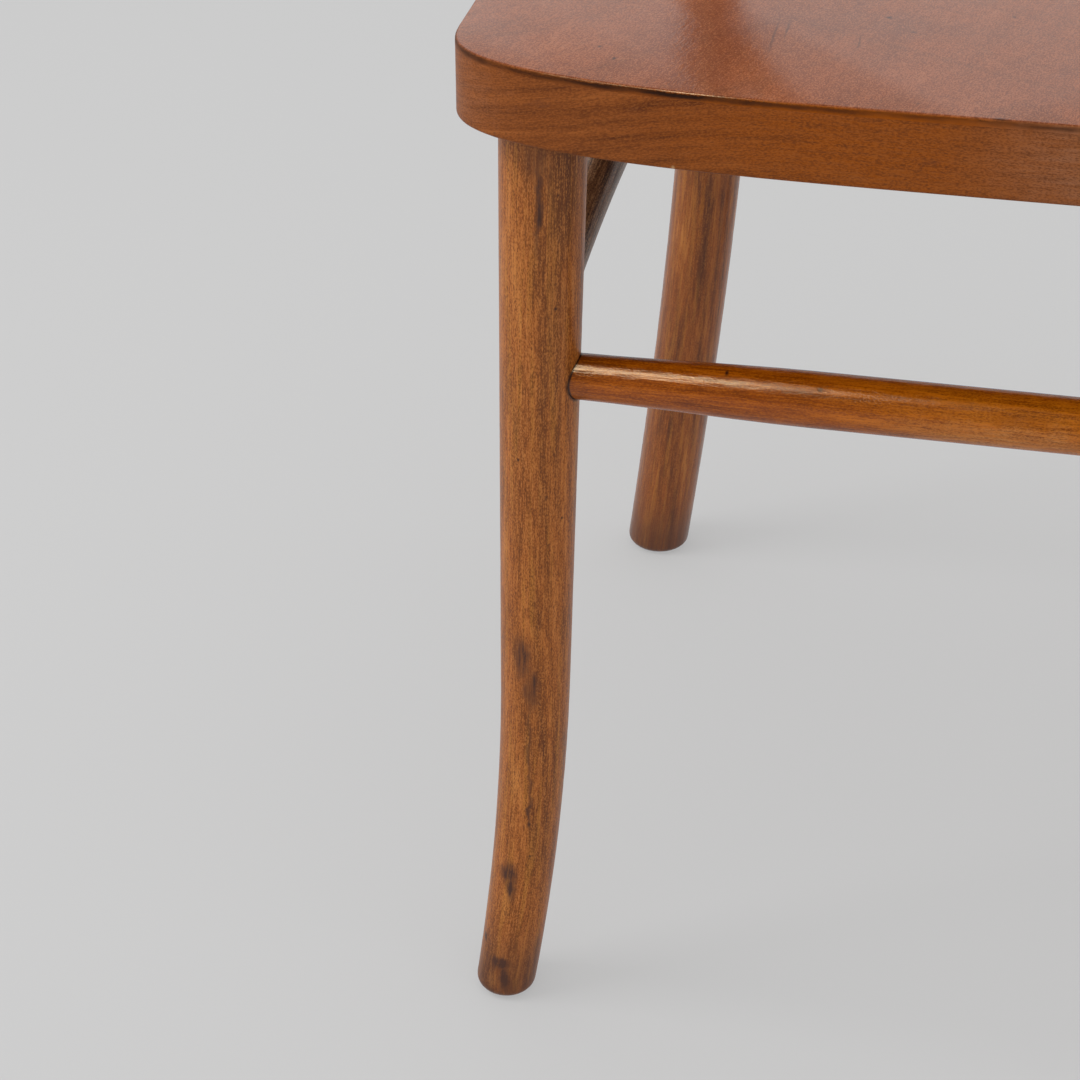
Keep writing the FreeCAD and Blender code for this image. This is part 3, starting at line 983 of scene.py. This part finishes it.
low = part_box("back_bow")[0]
foot = (low.x + rear_leg_radius, rear_foot_y, 0.0)
dress_bent_piece("back_bow", bent_rod_wood, foot, (0.1, -0.1, 1), 0.030)
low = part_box("inner_bow")[0]
tip = (low.x + inner_tip_radius, low.y + inner_tip_radius, low.z)
dress_bent_piece("inner_bow", bent_rod_wood, tip, (0, 0.2, 1), 0.020)

ring = clean_copy("seat_ring", 35)
lay_ring_grain(ring)
finish_piece(ring, "seat_ring", seat_ring_wood)
panel = clean_copy("seat_panel", 50)
lay_ring_grain(panel)
finish_piece(panel, "seat_panel", seat_panel_veneer)

for node_name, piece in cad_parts.items():
    for words, material in (
        ("front_stretcher", stretcher_wood),
        ("rear_stretcher", stretcher_wood),
        ("leg_wedge", wedge_wood),
        ("seat_bolt", bolt_steel),
        ("inner_bow_screw", screw_brass),
    ):
        if node_name.startswith(words):
            piece.data.materials.clear()
            piece.data.materials.append(material)


# Studio


def seen_or_mirrored(tree):
    # 1 for what the lens, a gloss or a glass sees, 0 for the light that falls on things.
    paths = add(tree, "LightPath").outputs
    return strongest(tree, [paths["Is Camera Ray"], paths["Is Transmission Ray"], paths["Is Glossy Ray"]])


def make_floor():
    half = floor_half
    corners = [(x * half, y * half, -floor_drop) for x, y in ((-1, -1), (1, -1), (1, 1), (-1, 1))]
    mesh = bpy.data.meshes.new("studio_floor")
    mesh.from_pydata(corners, [], [(0, 1, 2, 3)])
    floor = bpy.data.objects.new("studio_floor", mesh)
    bpy.context.scene.collection.objects.link(floor)
    # Matt paper: it takes the chair's shadow, but the lens and the gloss see it more evenly lit.
    material = new_material("matt_paper_sweep")
    tree = material.node_tree
    paper = add(
        tree,
        "BsdfPrincipled",
        {"Base Color": to_linear(floor_grey), "Roughness": 0.9, "Specular IOR Level": 0.0},
    )
    even = add(tree, "Emission", {0: to_linear(floor_seen_grey), 1: 1.0})
    share = weighed(tree, [(seen_or_mirrored(tree), floor_evenness)])
    mixed = add(tree, "MixShader", {0: share, 1: paper.outputs[0], 2: even.outputs[0]})
    add(tree, "OutputMaterial", {0: mixed.outputs[0]})
    mesh.materials.append(material)


def make_world():
    # Even white fill for the diffuse light; the lens and the gloss see pale walls under a dim ceiling.
    world = bpy.data.worlds.new("studio")
    bpy.context.scene.world = world
    world.use_nodes = True
    tree = world.node_tree
    tree.nodes.clear()
    paths = add(tree, "LightPath").outputs
    fill = add(tree, "Background", {0: (1.0, 1.0, 1.0, 1.0), 1: fill_strength})
    walls = add(tree, "Background", {0: to_linear(backdrop_grey), 1: 1.0})
    # What the gloss sees is dimmer toward the ceiling, and toward the wall behind the camera.
    way = add(tree, "SeparateXYZ", {0: add(tree, "TexCoord").outputs["Generated"]})
    rise = add(tree, "MapRange", {0: way.outputs[2], 1: 0.45, 2: 0.85, 3: 1.0, 4: 0.06}).outputs[0]
    front = add(tree, "MapRange", {0: way.outputs[1], 1: -0.55, 2: 0.15, 3: 0.12, 4: 1.0}).outputs[0]
    mirror = add(tree, "Background", {0: (1.0, 1.0, 1.0, 1.0), 1: weighed(tree, [(rise, front)])})
    seen = strongest(tree, [paths["Is Camera Ray"], paths["Is Transmission Ray"]])
    lit = add(tree, "MixShader", {0: paths["Is Glossy Ray"], 1: fill.outputs[0], 2: mirror.outputs[0]})
    shown = add(tree, "MixShader", {0: seen, 1: lit.outputs[0], 2: walls.outputs[0]})
    add(tree, "OutputWorld", {0: shown.outputs[0]})


def softbox(name, place, aim, size, power, light=(1.0, 1.0, 1.0), gloss_only=False):
    # A rectangular lamp. The glossy one is seen in the coats alone, the other lights the wood alone.
    lamp = bpy.data.lights.new(name, "AREA")
    lamp.shape = "RECTANGLE"
    lamp.size, lamp.size_y = size
    lamp.energy = power
    lamp.color = light
    box = bpy.data.objects.new(name, lamp)
    box.location = place
    box.rotation_euler = (Vector(aim) - Vector(place)).to_track_quat("-Z", "Y").to_euler()
    box.visible_camera = False
    box.visible_glossy = gloss_only
    box.visible_diffuse = not gloss_only
    bpy.context.scene.collection.objects.link(box)


def make_camera():
    lens = bpy.data.cameras.new("camera")
    lens.sensor_width = sensor_width
    lens.lens = lens_length
    lens.clip_start = 0.02
    lens.clip_end = 100.0
    camera = bpy.data.objects.new("camera", lens)
    camera.location = camera_place
    camera.rotation_euler = (math.radians(90 - camera_pitch_down), 0, math.radians(camera_turn_left))
    bpy.context.scene.collection.objects.link(camera)
    bpy.context.scene.camera = camera


make_floor()
make_world()
softbox("side_softbox", (-1.50, -0.50, 1.85), (-0.10, -0.15, 0.30), (0.85, 0.65), 16.0)
strip_place = (-0.65, -0.92, 2.34)
strip_aim = (-0.65, -0.20, 0.32)
softbox("overhead_strip", strip_place, strip_aim, (0.70, 1.20), 56.0, (1.0, 0.80, 0.50), gloss_only=True)
make_camera()
bpy.context.scene.view_settings.view_transform = "Standard"
